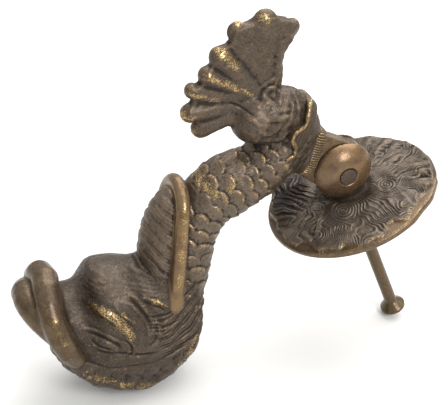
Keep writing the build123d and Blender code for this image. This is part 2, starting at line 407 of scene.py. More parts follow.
def fish_field(p):
    """The whole casting beyond the collar's scalloped edge, mirrored in the middle plane."""
    field = join(body_field(p), egg(p, *LEAVES), 3)
    field = join(field, egg(p, *FAN_ROOT), 2)
    field = join(field, fan_field(p), 3)
    head = join(egg(p, *HEAD), egg(p, *BROW), 13)
    head = join(head, egg(p, *MUZZLE), 5)
    head = join(head, rope(p, FRILL, 4), 6)
    head = carve(head, rope(p, LIP_VALLEY, 3.6), 9)
    field = join(field, head, 5)
    field = join(field, hood_field(p), 1.5)
    field = join(field, rope(p, rim_path(), RIM_R), 1.2)
    field = join(field, rope(p, UPPER_LIP, UPPER_LIP_R), 1.6)
    return join(field, rope(p, LOWER_LIP, LOWER_LIP_R), 1.2)


# ======== The fish's relief: heights in millimetres for points on the surface
# A piece's relief also gives how rubbed to gold, how warm and how dark the metal is, from 0 to 1; on the fish
# that darkness is partly painted shade.
SCALE_WIDE, SCALE_PITCH, SCALE_R = 8.54, 6.3, 5.1


def scales(p):
    """Rows of overlapping scales round the body, with their round free edges towards the tail."""
    x, y, z = p
    run, offset, size = BODY.locate(y, z)
    round_run = np.arctan2(x / size[..., 0], -offset / size[..., 1]) * 5 * SCALE_WIDE / math.pi
    last = np.floor((run + SCALE_R) / SCALE_PITCH)
    height = np.zeros(x.shape)
    for back in (2, 1, 0):
        row = last - back
        shift = 0.5 * (row % 2)
        column = np.round(round_run / SCALE_WIDE - shift)
        a, b, c = (chance(row, column, np.full(row.shape, seed)) - 0.5 for seed in (1, 2, 3))
        du = round_run - (column + shift) * SCALE_WIDE - a * 1
        dr = run - row * SCALE_PITCH - b * 1
        inside = SCALE_R * (1 + 0.10 * c) - np.sqrt(du**2 + (np.minimum(dr, 0.25 * dr) * 1.05) ** 2)
        fore = np.maximum(dr + SCALE_R, 0)
        level = (0.15 + 1.35 * np.exp(-fore / 4.2)) * (1 + 0.4 * a)
        level += 0.06 * ripple(inside, 1.25)
        cover = ramp(inside, -0.15, 0.55)
        height = height * (1 - cover) + level * cover
    return height - 0.45


def hood_folds(p):
    """Flutes over the hood's web that leave the rim square and bend towards its foot."""
    _, y, z = p
    along, out = HOOD.place(y, z)
    phase = along + 0.045 * out**2 + 0.8 * noise(p, 6, 3)
    wide = np.abs(np.sin(phase * math.pi / 7))
    fine = (0.10 + 0.07 * noise(p, 5, 4)) * ripple(phase, 1.75)
    return 0.60 * (wide**0.7 - 0.6) + fine + 0.18 * noise(p, 2.2, 13)


HAIR = Course([(-12, -84), (-9, -92), (-7.2, -99), (-5.4, -105), (-6.5, -111), (-10, -115.5)], 36)
FRILL_LINE = Course([
    (-24, -157), (-16.1, -154.8), (-6.8, -150.9), (-0.6, -146), (3.3, -141), (5.5, -135), (8.5, -128.8),
    (11.4, -123.1), (12.7, -117), (13.5, -109.6), (13.3, -101.6), (12, -94)
], 66)
SNOUT = Course([(-44, -138), (-41.5, -133), (-39.3, -127.6), (-37.2, -122.3), (-34.1, -115.8),
                (-29.9, -110.1), (-24, -104)], 42)

# height, width, fall on the left, and the line, all on the head
HEAD_LINES = [
    # brow
    (1.3, 2.6, 3.4,
     [(-31, -138), (-27, -132.7), (-22.1, -129.3), (-14.7, -126.4), (-8.1, -125.1), (-4.5, -124.5)]),
    (0.5, 1.4, 1.4, [(-28.5, -126), (-21.3, -124.2), (-14.4, -121.1)]),
    # cheek arcs
    (0.8, 0.9, 3.2,
     [(-29.5, -118.4), (-24, -116), (-19.9, -114.9), (-11.4, -114), (-6.5, -115.2), (-3, -118.5)]),
    (0.6, 0.8, 2.4, [(-26.5, -120.8), (-16.8, -117.4), (-9.4, -117), (-4.2, -119), (-2.2, -122.4)]),
    (0.8, 0.9, 2.6, [(-8.5, -112), (-2.8, -113.6), (1.2, -118.2), (0.8, -123.2)]),
    (-0.8, 1, 1, [(-26.5, -117.9), (-19.9, -116.4), (-11.4, -115.4), (-6.8, -116.6)]),
    # upper lid and the groove under it
    (0.9, 0.9, 1.4,
     [(-22, -145), (-20.3, -141.6), (-16.8, -137.4), (-11.6, -133.2), (-7, -131), (-4.8, -131.6)]),
    (-1, 1.1, 1.1, [(-18.8, -142.4), (-15.2, -138.4), (-10.8, -134.6), (-6.4, -133), (-4.4, -134.6)]),
    # wrinkles round the eye
    (0.45, 0.7, 1, [(-17, -144), (-11.5, -142.6), (-7.6, -140), (-5, -136.4), (-4.6, -133)]),
    (-0.7, 0.8, 0.8, [(-15.5, -142.6), (-11.2, -141), (-7.8, -138.6), (-6, -135.6)]),
    (0.5, 0.6, 1.2, [(-9.8, -130.6), (-4.6, -129.2), (-1.6, -131), (-1.8, -134.4)]),
    (0.5, 0.6, 1.2, [(-8.4, -128.4), (-3.2, -127), (0.6, -129.2), (0.6, -133.2)]),
    (-0.6, 0.7, 0.7, [(-9.6, -129.5), (-4, -128.1), (-0.4, -130.2), (-0.6, -133.8)]),
    # crease from the eye back to the gill
    (-1.1, 1.2, 1.5, [(-9.5, -144.6), (-7.2, -141.6), (-4, -134.6), (0, -129.4), (4.2, -124), (7.4, -117.6)]),
    (0.5, 0.9, 1.6, [(-6.4, -139.6), (-3.2, -133.4), (0.6, -128.4), (4.4, -123.2)]),
    # curls where the hair meets the cheek
    (0.8, 0.8, 1.5, [(-11.5, -110.8), (-8.6, -112.4), (-5, -110.6), (-3.2, -107), (-3.2, -102)]),
    (0.7, 0.7, 1.4, [(-8.4, -113.6), (-3.8, -112.4), (-0.8, -108.6), (-0.4, -103)]),
    (0.7, 0.7, 1.4, [(-4.6, -115.8), (-0.6, -114.2), (2.2, -110), (2.6, -104.6)]),
    (0.9, 0.8, 1.8, [(-22, -112.6), (-18.5, -110.4), (-15.1, -107.2), (-10.6, -104)]),
    (-0.7, 0.7, 0.7, [(-20.6, -113.4), (-17.2, -111.2), (-13.6, -108.4), (-9.6, -106.2)]),
]

# height, width, fall on the left, and the line, all on the tail's leaves
LEAF_LINES = [
    (1.1, 0.8, 2.2, [(-72.5, -16.5), (-76.3, -14.1), (-80.6, -16.6), (-79.4, -21.4), (-75.6, -22)]),
    (0.9, 0.8, 2, [(-78, -29.6), (-76.4, -24.7), (-75.1, -21), (-72.4, -18.6)]),
    (1, 0.8, 2.2, [(-72, -28), (-69, -23.5), (-66.6, -18.5), (-67.5, -12.8)]),
    (1.1, 0.8, 2.4, [(-69.8, -31.6), (-65, -29.5), (-62.6, -26), (-63.4, -21.6), (-66.8, -19.4)]),
    (1.1, 0.8, 2.6, [(-62.4, -30.6), (-57.8, -27), (-57.4, -22.8), (-61, -18.2)]),
    (1, 0.8, 2.2, [(-77.4, -35.1), (-72.5, -31.6), (-67.2, -30.2)]),
    (1.1, 0.8, 2.6, [(-74.6, -11.3), (-70, -12.4), (-65.6, -15.8), (-62, -20.9)]),
    (0.9, 0.8, 2.2, [(-60.6, -31.9), (-56.6, -29.4), (-53.2, -24.4)]),
    (0.8, 0.7, 1.6, [(-75.4, -8.1), (-69.2, -8.8), (-63, -12.2)]),
    (0.8, 0.7, 1.6, [(-58.6, -15.6), (-59.6, -20), (-56, -24)]),
    (0.8, 0.7, 1.8, [(-82.6, -12.6), (-84, -17.6), (-82, -22.6)]),
    (-0.9, 0.9, 0.9, [(-84.4, -37.6), (-78.4, -32.4), (-73.7, -29)]),
]


def head_relief(p):
    """Lines, lids, hair and frill on the head."""
    x, y, z = p
    height = sum(tall * stroke(y, z, points, width, fall) for tall, width, fall, points in HEAD_LINES)
    height += 1.5 * blot(y, z, (-11.8, -137.8), 54, 5.2, 3) ** 0.6
    _, offset, _ = HAIR.locate(y, z)
    hair = ramp(offset, -6, -2) * ramp(-z, 82, 88) * ramp(z, -119, -113)
    hair *= ramp(26 - offset, 0, 5)
    wave = 0.9 * noise(p, 5, 5)
    height += hair * (0.3 * ripple(offset + wave, 1.7) + 0.35 * ripple(offset + wave, 5.3))
    run, offset, _ = FRILL_LINE.locate(y, z)
    offset = -offset
    frill = ramp(offset, -0.3, 0.9) * ramp(22 - offset, 0, 4)
    ends = ramp(run, 2, 10) * ramp(FRILL_LINE.run[-1] - run, 2, 12)
    wave = 1.1 * noise(p, 4, 6)
    patches = 0.5 + 0.5 * noise((0 * x, run, 0 * x), 6, 15)
    ridges = 0.15 * patches * ripple(run + wave, 1.7) + 0.22 * ripple(run + 2 * wave, 7.3)
    ridges = ridges + 0.62 * noise(p, 4.5, 7) + 0.22 * noise(p, 2.1, 14)
    height += frill * ends * (0.7 + ridges * ramp(offset, 0.5, 3.5))
    run, offset, _ = SNOUT.locate(y, z)
    top = ramp(9.5 - np.abs(offset), 0, 3) * ramp(run, 5, 10)
    height += top * 0.09 * ripple(offset + 0.5 * noise(p, 6, 8), 1.6)
    arcs = ramp(-offset, 8, 10) * ramp(24 + offset, 0, 6) * ramp(z, -124, -118)
    arcs *= ramp(-y, 10, 14)
    return height + arcs * 0.07 * ripple(offset, 2.1)


def tail_relief(p):
    """Curled leaves at the fan's root and rough metal between its ribs."""
    _, y, z = p
    along, across = TAIL.place(y, z)
    curls = [tall * stroke(y, z, points, width, 1.15 * fall) for tall, width, fall, points in LEAF_LINES]
    height = 0.58 * sum(curls)
    leaf = ramp(58 - along, 0, 8) * ramp(across, -8, 0)
    height += leaf * (0.30 * noise(p, 3, 9) + 0.24 * noise(p, 1.7, 10))
    return height + 0.12 * noise(p, 2.6, 11)


def fish_relief(p):
    """The relief over the casting, and how rubbed, how warm and how dark the metal is, with painted shade in
    that darkness on the head and the tail.
    """
    _, y, z = p
    along, _ = TAIL.place(y, z)
    near_body = 1 - ramp(np.abs(body_field(p)), 0.5, 1.6)
    rim = rope(p, rim_path(), RIM_R)
    lips = np.minimum(rope(p, UPPER_LIP, UPPER_LIP_R), rope(p, LOWER_LIP, LOWER_LIP_R))
    plain = np.minimum(ramp(rim, 0.3, 1), ramp(lips, 0.3, 1.4))
    scaly = near_body * ramp(z, -97, -90) * ramp(-z, 22, 26) * plain
    web = (1 - ramp(np.abs(hood_field(p)), 0.5, 1.5)) * plain * (1 - scaly)
    tail = ramp(z, -40, -34) * (1 - scaly)
    tail = np.maximum(tail, ramp(-y, 62, 66) * ramp(z, -62, -60)) * (1 - scaly)
    head = ramp(-z, 86, 90) * (1 - web) * plain
    scale_height = scales(p)
    rough = 0.13 * noise(p, 2.1, 16) + 0.13 * noise(p, 1.3, 17)
    height = scaly * (scale_height + rough) + web * hood_folds(p)
    height = height + tail * tail_relief(p) + head * head_relief(p)
    height += plain * 0.08 * noise(p, 1.4, 12)
    gold = np.maximum(gilding(p), scaly * (0.42 * ramp(scale_height, 0.25, 0.75)))
    warm = np.maximum(1 - ramp(rim, 0.2, 0.9), 0.8 * (1 - ramp(lips, 0.2, 1)))
    # painted shade with some dark patina: the head darkened all over, more in the crease behind the lips and
    # towards its underside, less at two lighter patches
    lip_crease_shade = 1 - ramp(rope(p, LIP_VALLEY, 7), 0, 6.5)
    shade_under_head = ramp(y + 0.4 * z, -84, -66)
    less_painted_shade = 0.35 * blot(y, z, (4, -106), 0, 14, 18) + 0.3 * blot(y, z, (-12, -137), 0, 9, 9)
    deep = head * np.maximum(0.76 + 0.1 * shade_under_head - less_painted_shade, lip_crease_shade)
    # painted shade with some dark patina over the tail, darker on the leaves than on the fan
    deep = np.maximum((0.56 + 0.18 * ramp(50 - along, 0, 6)) * tail, deep)
    deep = np.maximum(deep, 0.68 * (1 - ramp(lips, 0.2, 1)))
    return height, gold, warm, deep


# strength, width, and the line along which the gilding is rubbed bright
GOLD_LINES = [
    (0.9, 3.4, [(-112, -33.2), (-108.2, -31.3), (-101.9, -28.8), (-95.4, -27)]),
    (0.85, 2.8, [(-102.9, -42.8), (-97.2, -37.7), (-89.4, -32.1), (-79.3, -24.4)]),
    (0.75, 3.4, [(-115.5, -10), (-113, -7.8), (-110, -6.6)]),
    (0.6, 2.4, [(-98.4, -52), (-93.2, -47.9), (-84.4, -38.8)]),
    (0.7, 2.6, [(-91, -58.4), (-87, -57.5), (-84, -55)]),
    (0.5, 2, [(-117.9, -21.8), (-115.6, -18.7), (-114.5, -15.7)]),
    (0.6, 2.4, [(-79, -58), (-75, -57.6), (-71.5, -55)]),
    (1, 4.2, [(-56.4, -63.6), (-50.7, -62.2), (-46.6, -60.2)]),
    (0.95, 2.8, [(-46.4, -56.4), (-48.4, -53.4), (-52.2, -49.6)]),
    (1, 5, [(-31, -138), (-27, -132.7), (-22.1, -129.3), (-14.7, -126.4), (-8.1, -125.1), (-5.3, -123.7)]),
    (0.35, 3, [(-24, -124.6), (-18, -122.6), (-12, -121.6)]),
    (0.8, 2.2, [(-18.5, -111), (-15.1, -107.6), (-10.6, -104.7)]),
    (0.6, 4.4, [(-2, -153.7), (6, -149.2), (11.7, -144.7), (18.8, -138.3), (24.5, -132.5), (26.5, -124.3)]),
    (0.6, 3.4, [(24, -116), (20, -106), (14, -97)]),
    # the hood's rim and the upper lip: rubbed gilding that also paints their golden sheen, a painted
    # highlight
    (0.28, 3.6, [(-56, -74), (-51, -77), (-42, -82.2), (-28, -90), (-14, -97.8)]),
    (0.3, 3.6, [(-45, -150), (-38, -152), (-28, -153.6), (-18, -154)]),
]


def gilding(p):
    """How brightly the gilding shows along the gold lines."""
    _, y, z = p
    rubs = [strong * stroke(y, z, points, width, taper=0.15) for strong, width, points in GOLD_LINES]
    return np.maximum.reduce(rubs)


# ======== Tongue, ribbed band and collar
TONGUE_HALF, TONGUE_R = 4.2, 12.8
# across and along for the collar's scalloped edge
SCALLOPS = [
    (-13, 27.8), (-11.3, 28.6), (-6.6, 32), (-3.1, 33.5), (0.6, 33.3), (2.8, 30.2), (6.2, 31), (8.8, 34),
    (11.1, 35.5), (14, 35.1), (16, 32.6), (18.2, 30), (21.3, 30.2), (26, 30), (28.4, 28.8), (30, 27.6),
    (33, 26.5)
]


def box_round(across_a, half_a, across_b, half_b, power=3):
    """Distance to a rounded bar from its two cross offsets."""
    size = (np.abs(across_a / half_a) ** power + np.abs(across_b / half_b) ** power) ** (1 / power)
    return (size - 1) * np.minimum(half_a, half_b)


def beyond_collar(along, across):
    """Distance beyond the scalloped edge, with its corners rounded."""
    shifts = np.linspace(-0.8, 0.8, 7)
    edge, ahead = (np.mean([np.interp(across + step + shift, *zip(*SCALLOPS)) for shift in shifts], axis=0)
                   for step in (0, 0.1))
    slope = (ahead - edge) / 0.1
    return (along - edge) / np.sqrt(1 + slope**2)


def collar_field(p):
    """A sleeve that widens towards the fish and ends in a raised, scalloped edge."""
    x, y, z = p
    along, across = TAIL.place(y, z)
    t = np.clip((along - 20) / 12, 0, 1.3)
    middle, wide, deep = 8.6 + 1.2 * t, 8.4 + 4.8 * t, 18.3 + 0.4 * t
    side = box_round(x, wide, across - middle, deep)
    near_end = np.interp(across, [-12, 5, 15, 20, 26, 30], [20.4, 21.4, 21.6, 22.8, 23.2, 24.2])
    beyond = beyond_collar(along, across)
    sleeve = join_max(join_max(side, near_end - along, 1.2), beyond, 0.6)
    neck = join_max(box_round(x, 7.8, across - 2.4, 12.2), np.abs(along - 20) - 4.5, 1)
    bead = np.hypot(side + 0.15, beyond + 0.75) - 1.05
    return join(join(sleeve, bead, 0.5), neck, 1)


def collar_relief(p):
    """Streaks along the sleeve, and an edge rubbed to gold."""
    _, y, z = p
    along, across = TAIL.place(y, z)
    beyond = beyond_collar(along, across)
    near_edge = np.clip(1 - np.abs(beyond + 0.9) / 1.5, 0, 1)
    streaks = 0.12 * ripple(along + 0.25 * across + 1.2 * noise(p, 5, 24), 1.9)
    height = (streaks + 0.16 * noise(p, 2, 21)) * (1 - near_edge) + 0.35 * noise(p, 5, 22)
    # the sleeve is darker away from its rubbed edge: dark patina and painted shade
    return height, 0.95 * near_edge**0.7, 0.25, 0.85 * (1 - near_edge)


BAND_PLACE = 15.6


def band_field(p):
    """A ring of short ridges round the tongue."""
    x, y, z = p
    along, across = TAIL.place(y, z)
    swell = 1.3 * np.sqrt(np.clip(1 - ((along - BAND_PLACE) / 3.4) ** 2, 0, 1))
    side = box_round(x, 6.6 + swell, across - 2, 11 + swell, 4)
    return join_max(side, np.abs(along - BAND_PLACE) - 3, 0.8)


def band_relief(p):
    """Short ridges round the band, rubbed on top and dark between."""
    x, y, z = p
    along, across = TAIL.place(y, z)
    top = np.abs(x) / 7.8 > np.abs(across - 2) / 12.2
    place = np.where(top, across, x)
    ridge = ripple(place, 1.2)
    flat = ramp(3.1 - np.abs(along - BAND_PLACE), 0, 0.8)
    gold, deep = 0.5 * flat * np.clip(ridge, 0, 1), 0.6 * flat * np.clip(-ridge, 0, 1)
    return 0.32 * flat * ridge, gold, 0.6, deep


def tongue_field(p):
    """The flat tongue, round about the pin, with its running bore."""
    x, y, z = p
    from_pin = np.hypot(y - PIN_Y, z)
    ends = TAIL.point(0, 22, 12.8)[1:], TAIL.point(0, 22, -8.8)[1:]
    corners = [by_pin(128, 13.8), *ends, by_pin(-62, TONGUE_R)]
    sides = zip(corners, corners[1:] + corners[:1])
    bar = np.maximum.reduce([half_plane(y, z, a, b) for a, b in sides])
    shoulder = by_pin(124, 8.2)
    bar = join(bar, np.hypot(y - shoulder[0], z - shoulder[1]) - 6, 1)
    shape = np.minimum(bar, from_pin - TONGUE_R)
    solid = join_max(shape, x - TONGUE_HALF, 0.7)
    return join_max(solid, PIN_R + 0.08 - from_pin, 0.2)


def by_pin(heading, reach):
    """A point at a heading and reach from the pin."""
    cy, cz = unit(heading)
    return PIN_Y + reach * cy, reach * cz


def half_plane(y, z, a, b):
    """Distance beyond the line from a to b, on its right."""
    dy, dz = b[0] - a[0], b[1] - a[1]
    return (dz * (y - a[0]) - dy * (z - a[1])) / math.hypot(dy, dz)


def tongue_relief(p):
    """Faint dents in warm brown metal."""
    return 0.08 * noise(p, 2.2, 23), 0.1, 0.8, 0.3


# ======== Meshing
FIELD_BAND = 4.0


def field_mesh(name, field, low, high, voxel):
    """Meshes a mirrored field with quads, in metres."""
    half = int(math.ceil(high[0] / voxel))
    x = np.arange(0, half + 1) * voxel
    y = np.arange(low[1], high[1], voxel)
    z = np.arange(low[2], high[2], voxel)
    p = np.meshgrid(x, y, z, indexing="ij")
    values = field(tuple(p))
    values = np.concatenate([values[:0:-1], values])
    grid = openvdb.FloatGrid()
    grid.background = FIELD_BAND
    grid.copyFromArray(np.clip(values, -FIELD_BAND, FIELD_BAND).astype(np.float32), tolerance=0)
    points, _, quads = grid.convertToPolygons(isovalue=0, adaptivity=0)
    points = points * voxel + np.array([-half * voxel, low[1], low[2]])
    return new_mesh(name, points * MM, quads)


def new_mesh(name, points, faces):
    """A linked, smooth-shaded mesh object from arrays."""
    mesh = bpy.data.meshes.new(name)
    mesh.from_pydata([tuple(map(float, p)) for p in points], [], [tuple(map(int, f)) for f in faces])
    mesh.validate()
    mesh.shade_smooth()
    return add_object(name, mesh)


def split_faces(piece):
    """Splits each face into four smooth ones and keeps the result as the mesh."""
    piece.modifiers.new("smooth", "SUBSURF").levels = 1
    bpy.context.view_layer.update()
    fine = bpy.data.meshes.new_from_object(piece.evaluated_get(bpy.context.evaluated_depsgraph_get()))
    piece.modifiers.clear()
    piece.data = fine
    fine.shade_smooth()


def read_points(mesh):
    """The vertices, in millimetres."""
    flat = np.empty(3 * len(mesh.vertices))
    mesh.vertices.foreach_get("co", flat)
    return flat.reshape(-1, 3) / MM


def write_points(mesh, points):
    """Moves the vertices to points in millimetres."""
    mesh.vertices.foreach_set("co", (points * MM).ravel())
    mesh.update()


def slope_of(field, points):
    """A field's value and gradient at points, mirrored in the middle plane."""
    side = np.where(points[:, 0] < 0, -1, 1)
    x, y, z = np.abs(points[:, 0]), points[:, 1], points[:, 2]
    step = 0.05
    value = field((x, y, z))
    slope = np.stack([field((x + step, y, z)) - value, field((x, y + step, z)) - value,
                      field((x, y, z + step)) - value], axis=1) / step
    slope[:, 0] *= side * (x > 1e-3)
    return value, slope


def set_marks(mesh, **marks):
    """Stores a number for each vertex under each name."""
    for name, values in marks.items():
        column = np.full(len(mesh.vertices), values, np.float32)
        mesh.attributes.new(name, "FLOAT", "POINT").data.foreach_set("value", column)


def curvature(mesh, rounds):
    """How far each vertex stands out of its smoothed surroundings, in millimetres; hollows are negative."""
    edges = np.empty(2 * len(mesh.edges), np.int32)
    mesh.edges.foreach_get("vertices", edges)
    a, b = edges[::2], edges[1::2]
    count = len(mesh.vertices)
    degree = np.bincount(a, minlength=count) + np.bincount(b, minlength=count)
    points = read_points(mesh)
    smooth = points.copy()
    for _ in range(rounds):
        sums = [np.bincount(a, weights=c[b], minlength=count)
                + np.bincount(b, weights=c[a], minlength=count) for c in smooth.T]
        smooth = np.stack(sums, axis=1) / np.maximum(degree, 1)[:, None]
    normals = np.empty(3 * count)
    mesh.vertex_normals.foreach_get("vector", normals)
    return ((points - smooth) * normals.reshape(-1, 3)).sum(axis=1)


def sculpt(name, field, relief, low, high, voxel, body, slot):
    """A piece from a field, with a relief laid on it and its marks stored."""
    piece = field_mesh(name, field, low, high, voxel)
    split_faces(piece)
    points = read_points(piece.data)
    for _ in range(2):
        value, slope = slope_of(field, points)
        size = np.maximum((slope**2).sum(axis=1), 0.25)
        points -= slope * np.clip(value / size, -0.6, 0.6)[:, None]
    _, slope = slope_of(field, points)
    normal = slope / np.maximum(np.linalg.norm(slope, axis=1), 1e-6)[:, None]
    height, gold, warm, deep = relief((np.abs(points[:, 0]), points[:, 1], points[:, 2]))
    write_points(piece.data, points + normal * height[:, None])
    fine, broad = curvature(piece.data, 3), curvature(piece.data, 14)
    set_marks(piece.data, gold=gold, warm=warm, deep=deep, fine=fine, broad=broad)
    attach(piece, body)
    return piece


def make_fish():
    """The fish casting as a casting, a collar, a band and a tongue that sit in each other."""
    # field, relief, lowest and highest corner, and voxel
    parts = {
        "fish_casting": (fish_field, fish_relief, (0, -122, -172), (33, 42, 16), 1.2),
        "fish_collar": (collar_field, collar_relief, (0, -78, -42), (18, -20, 16), 0.8),
        "fish_band": (band_field, band_relief, (0, -56, -28), (11, -22, 4), 0.48),
        "fish_tongue": (tongue_field, tongue_relief, (0, -60, -28), (7, -4, 16), 0.8),
    }
    pieces = [sculpt(name, *part, "fish", "fish_bronze") for name, part in parts.items()]
    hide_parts("fish")
    return pieces


# ======== The rose: its relief stands out of a smooth rim, and flows like water from the ears to the edge
# Marks on the rose take x and z, and aren't mirrored.
ROSE_R, RIM_THICK, DOME_RISE = 42, 3, 3
EAR_R, EAR_INNER, EAR_OUTER = 14.8, 4.6, 11.6
# y of the ears' foot in front and behind, and of the slot's floor
FOOT_FRONT, FOOT_BACK, SLOT_FLOOR = -11, -2, -7.1
# share of the radius and depth (y) of the side, the outer land, the hollow and the hub
ROSE_BACK = [(1, -1.6), (1, -0.5), (0.994, 0), (0.857, 0), (0.857, -1.5), (0.262, -1.5), (0.262, 0)]

# angle from +X towards +Z, and how far the relief reaches there
RELIEF_EDGE = [
    (-180, 42), (-165, 41.5), (-150, 41), (-138, 41.5), (-126, 40.8), (-116, 39), (-108, 40.5), (-98, 38.2),
    (-91, 40.2), (-84, 39), (-76, 40.6), (-66, 41), (-64, 38.2), (-59, 36.6), (-53, 38.6), (-47, 41.2),
    (-40, 40), (-33, 40.6), (-29, 37.8), (-23, 38.3), (-19, 41), (-13, 41.2), (-8, 40.2), (-3, 40.6),
    (2, 38), (6, 36.4), (11, 36), (14, 38.5), (17, 40.6), (22, 39.4), (27, 37.6), (32, 38.8), (37, 38.2),
    (43, 39), (49, 39.6), (55, 42), (180, 42)
]
LINES_ROUND, RING_PITCH = 66, 1.75
# centre (x, z), reach of the swirl's rings, and the way they wind
SWIRLS = [((12.3, 16), 9.5, 1), ((14, -9), 11, -1), ((-15, 14), 9, 1), ((-27, 3), 8, -1),
          ((2.5, -17.5), 7, 1)]
# height, width, fall on the left, and the line, in x and z
FOLDS = [
    (0.9, 0.8, 3, [(7.8, -17), (11.5, -21), (16, -24.8), (20.5, -28.4)]),
    (0.7, 0.8, 2, [(2, -20), (5, -26), (8.5, -32)]),
    (0.8, 0.8, 2.6, [(4, 22), (1, 29), (-4, 36)]),
    (0.8, 0.8, 2.4, [(14, 24), (16, 30), (14, 37)]),
]


def rose_relief(x, z):
    """The relief's height over the dome, with the rubbed, warm and dark marks."""
    r, turn = np.hypot(x, z), np.arctan2(z, x)
    edge = np.interp(np.degrees(turn), *zip(*RELIEF_EDGE))
    flat = (x, 0 * x, z)
    stray = 0.16 * noise(flat, 11, 31) + 0.09 * noise(flat, 5, 32)
    phase, inner = LINES_ROUND * (turn + stray * np.clip(r / 14, 0, 1)), np.zeros(x.shape)
    for centre, reach, hand in SWIRLS:
        away = np.hypot(x - centre[0], (z - centre[1]) * 1.15)
        share = ramp(reach - away, -0.5, 0.55 * reach)
        spiral = 2 * math.pi * away / RING_PITCH + hand * np.arctan2(z - centre[1], x - centre[0])
        level = LINES_ROUND * math.atan2(centre[1], centre[0])
        phase = level + (phase - level) * (1 - share) + spiral * share
        inner = np.maximum(inner, share)
    split = ramp(r, 25, 33) * (1 - inner)
    few, many = (2 * (0.5 + 0.5 * np.cos(k * phase)) ** 2 - 0.8 for k in (1, 2))
    lines = (few * (1 - split) + many * split) * (0.75 + 0.5 * noise(flat, 6, 40))
    high_edge = ramp(z, 16, 30)
    height = 1 + 0.27 * lines + 0.6 * noise(flat, 7.5, 33) + 0.16 * noise(flat, 2.4, 39)
    rays = (0.5 * r, 0 * x, 50 * turn)
    height += high_edge * (1.5 * noise(rays, 4.5, 34) + 0.7 * noise(flat, 8, 35))
    height += sum(tall * stroke(x, z, line, width, fall) for tall, width, fall, line in FOLDS)
    # a raised lump of winding strands at the lower left
    mound = blot(x, z, (-16.5, -26.5), -25, 19.5, 15) ** 0.7
    along, across = -0.96 * x - 0.28 * z, 0.28 * x - 0.96 * z
    stray = 4.6 * noise(flat, 9, 36) + 1.5 * noise(flat, 4, 43)
    strand = across + 2.2 * np.sin(along / 4.5) + stray
    grooves = np.abs(np.sin(strand * math.pi / 4.2)) + 0.25 * ripple(strand, 1.4) - 0.5
    grooves = grooves * (0.8 + 0.6 * noise(flat, 5, 44)) + 0.9 * noise(flat, 7, 45)
    height = height * (1 - mound) + mound * (4.6 + 1.5 * grooves)
    # the relief stops at its wavy edge, which is rubbed on the lower right, and under the ears
    inside = ramp(edge + 0.4 - r, -0.2, 1)
    under_ears = ramp(r, 9, 13)
    band = np.clip(1 - np.abs(edge - r + 0.4) / 1.1, 0, 1)
    rim = 1 - ramp(edge - r, -0.6, 0.6)
    lower = ramp(-np.sin(turn - 0.9), -0.5, 0.1)
    gold = np.maximum(0.85 * band, 0.15 * rim) * lower
    gold = np.maximum(gold, 0.5 * stroke(x, z, FOLDS[0][3], 1.2))
    lower_right = ramp(np.cos(turn + 0.6), -0.35, 0.35)
    warm, dark = rim * (0.2 + 0.35 * lower_right), np.maximum(mound * inside, 0.35 * rim)
    return height * inside * under_ears, gold * lower_right, warm, dark


def turned_mesh(name, rows):
    """A closed mesh from rings of points, with a pole in the middle of the first and the last."""
    count = rows[0].shape[0]
    points = np.concatenate([rows[0].mean(axis=0)[None], *rows, rows[-1].mean(axis=0)[None]])
    faces = [(0, 1 + j, 1 + (j + 1) % count) for j in range(count)]
    for k in range(len(rows) - 1):
        a, b = 1 + k * count, 1 + (k + 1) * count
        faces += [(a + j, b + j, b + (j + 1) % count, a + (j + 1) % count) for j in range(count)]
    last, end = 1 + (len(rows) - 1) * count, 1 + len(rows) * count
    faces += [(end, last + (j + 1) % count, last + j) for j in range(count)]
    return new_mesh(name, points * MM, faces)


def make_rose():
    """The round plate, a polar grid with the rim's side and the hollow back, and the ears."""
    turn = np.linspace(0, 2 * math.pi, 600, endpoint=False)
    cos, sin = np.cos(turn), np.sin(turn)
    rough = 0.6 * ramp(sin, 0.2, 0.6)
    rim = (40 * cos, 0 * cos, 40 * sin)
    reach = ROSE_R + 0.4 + rough * (0.5 + 1.2 * noise(rim, 7, 37) + 0.5 * noise(rim, 3.5, 38))
    rows, marks = [], []
    # shares of the radius, closer together round the rim's corner
    for share in np.concatenate([np.linspace(0.012, 0.975, 92), [0.984, 0.992, 0.998, 1]]):
        r = share * reach
        x, z = r * cos, r * sin
        height, *shades = rose_relief(x, z)
        corner = 0.9 * (1 - np.sqrt(np.clip(1 - np.clip((share - 0.972) / 0.028, 0, 1) ** 2, 0, 1)))
        dome = RIM_THICK + DOME_RISE * (1 - (r / ROSE_R) ** 2)
        rows.append(np.stack([x, -(dome + height - corner * (1 + height)), z], axis=1))
        marks.append(shades)
    side = (0 * turn, 0.5 + 0 * turn, 0.35 + 0 * turn)
    for share, y in ROSE_BACK:
        rows.append(np.stack([share * reach * cos, y + 0 * cos, share * reach * sin], axis=1))
        marks.append(side)
    rose = turned_mesh("rose_relief", rows)
    gold, warm, dark = (np.concatenate([[marks[0][k][0]], *[m[k] for m in marks], [0]]) for k in range(3))
    fine, broad = curvature(rose.data, 4), curvature(rose.data, 16)
    set_marks(rose.data, gold=gold, warm=warm, dark=dark, fine=fine, broad=broad)
    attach(rose, "rose")
    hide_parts("rose_plate")
    low, high = (0, -38, -17), (14, 0, 17)
    return [rose, sculpt("rose_ears", ears_field, ears_relief, low, high, 0.8, "rose", "rose_bronze")]


